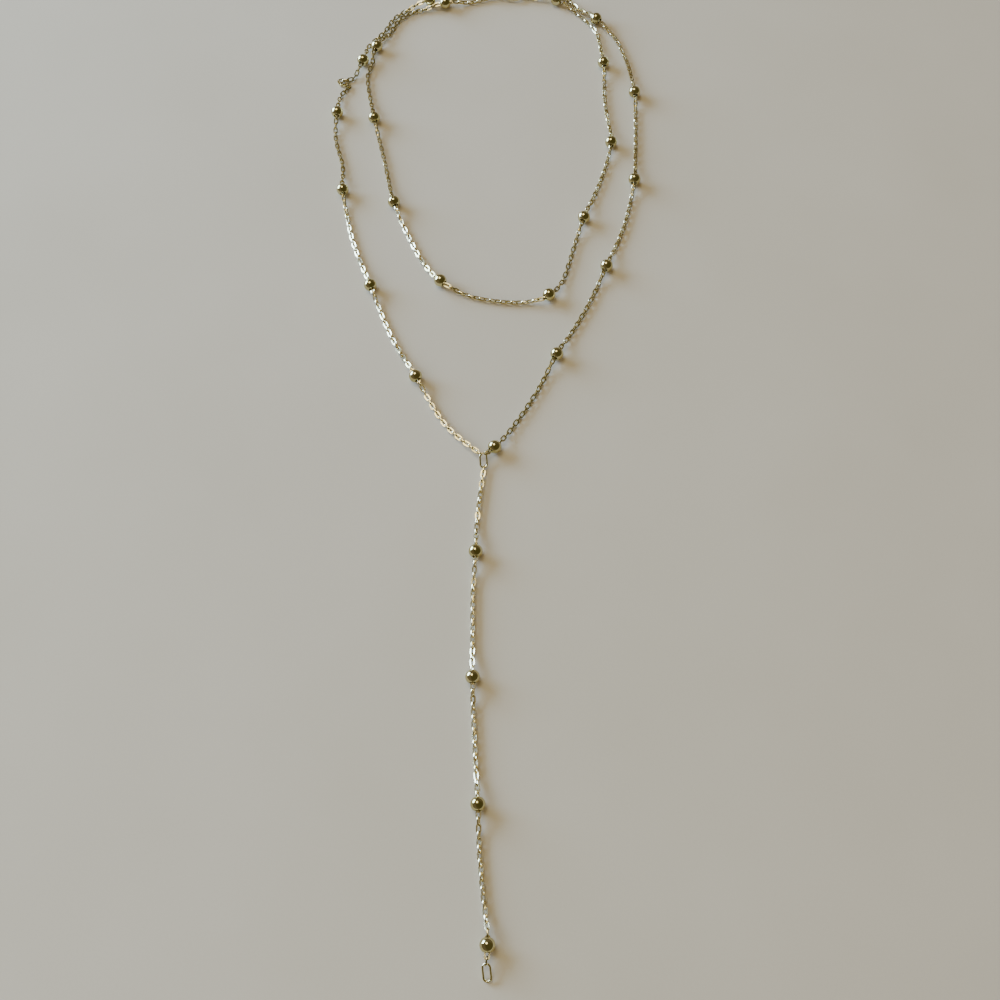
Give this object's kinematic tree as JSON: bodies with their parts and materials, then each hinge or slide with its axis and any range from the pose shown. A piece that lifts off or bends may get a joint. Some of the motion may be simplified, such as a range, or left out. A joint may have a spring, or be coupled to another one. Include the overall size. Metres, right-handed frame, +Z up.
{
  "type": "layered necklace",
  "caption": "Layered necklace of fine cable chain set with polished balls: an inner loop, an outer loop that closes in an oval ring, and a straight drop below it.",
  "frame": {"origin": "middle of the necklace's outline in plan, on the surface that it lies on", "axes": "+Y along the necklace from the drop's free end up to the clasp, +X to its right side as laid out, +Z up from the surface"},
  "size_m": [0.1054, 0.3317, 0.004],
  "materials": {
    "chain": "pale champagne gold plating, polished flat cut links",
    "ball": "pale champagne gold plating, mirror polished",
    "ring": "pale champagne gold plating, polished",
    "clasp": "pale champagne gold plating, polished"
  },
  "bodies": {
    "root": {"chain_inner": "chain", "chain_outer": "chain", "chain_drop": "chain", "junction_ring": "ring", "end_ring": "ring", "clasp": "clasp", "clasp_ring_left": "ring", "clasp_ring_right": "ring", "bead_inner_01": "ball", "bead_inner_02": "ball", "bead_inner_03": "ball", "bead_inner_04": "ball", "bead_inner_05": "ball", "bead_inner_06": "ball", "bead_inner_07": "ball", "bead_inner_08": "ball", "bead_inner_09": "ball", "bead_inner_10": "ball", "bead_outer_01": "ball", "bead_outer_02": "ball", "bead_outer_03": "ball", "bead_outer_04": "ball", "bead_outer_05": "ball", "bead_outer_06": "ball", "bead_outer_07": "ball", "bead_outer_08": "ball", "bead_outer_09": "ball", "bead_outer_10": "ball", "bead_outer_11": "ball", "bead_outer_12": "ball", "bead_drop_1": "ball", "bead_drop_2": "ball", "bead_drop_3": "ball", "bead_drop_4": "ball"}
  },
  "joints": []
}
